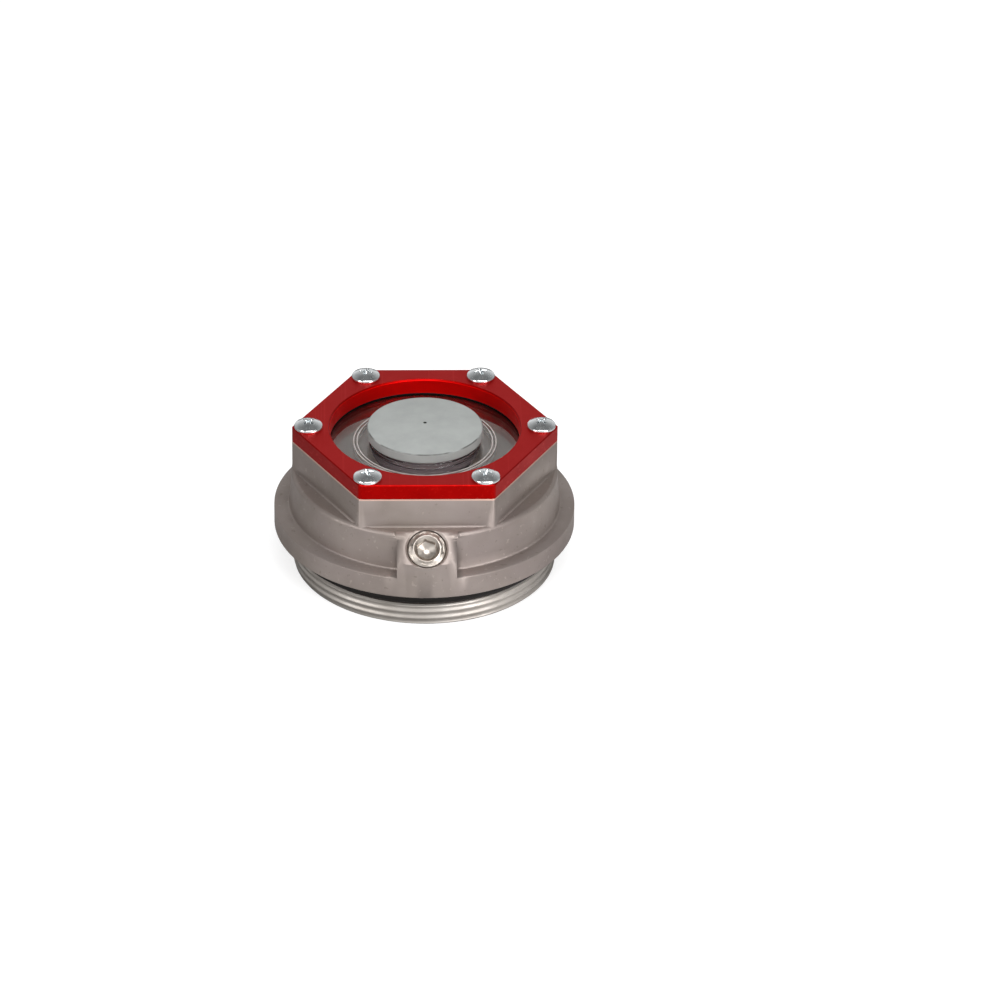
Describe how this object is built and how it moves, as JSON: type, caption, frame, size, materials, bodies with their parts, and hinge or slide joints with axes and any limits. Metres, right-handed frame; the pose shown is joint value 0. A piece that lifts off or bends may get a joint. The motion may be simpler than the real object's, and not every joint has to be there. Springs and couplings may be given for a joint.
{
  "type": "oil bath hub cap",
  "caption": "Threaded oil bath hub cap: cast housing with a sight window under a red hexagonal bezel, a filler plug and a vented rubber plug.",
  "frame": {"origin": "centre of the spigot's lower rim, where the cap's axis meets the plane it rests on", "axes": "+Z along the cap's axis, out of the hub; -Y towards the filler boss; two corners of the hexagon lie on +X and -X"},
  "size_m": [0.1306, 0.1307, 0.0682],
  "materials": {
    "cast_aluminium": "cast and tumbled, machined on the thread and the seats",
    "red_anodised_aluminium": "satin red anodising",
    "zinc_plated_steel": "bright zinc plating",
    "plug_steel": "plain machined steel",
    "clear_plastic": "clear moulded polycarbonate",
    "black_rubber": "matt",
    "grey_rubber": "satin"
  },
  "bodies": {
    "root": {"housing": "cast_aluminium", "flange_o_ring": "black_rubber", "window": "clear_plastic", "window_gasket": "black_rubber", "bezel": "red_anodised_aluminium", "screw_1": "zinc_plated_steel", "screw_2": "zinc_plated_steel", "screw_3": "zinc_plated_steel", "screw_4": "zinc_plated_steel", "screw_5": "zinc_plated_steel", "screw_6": "zinc_plated_steel", "filler_plug": "plug_steel", "vent_plug": "grey_rubber"}
  },
  "joints": []
}
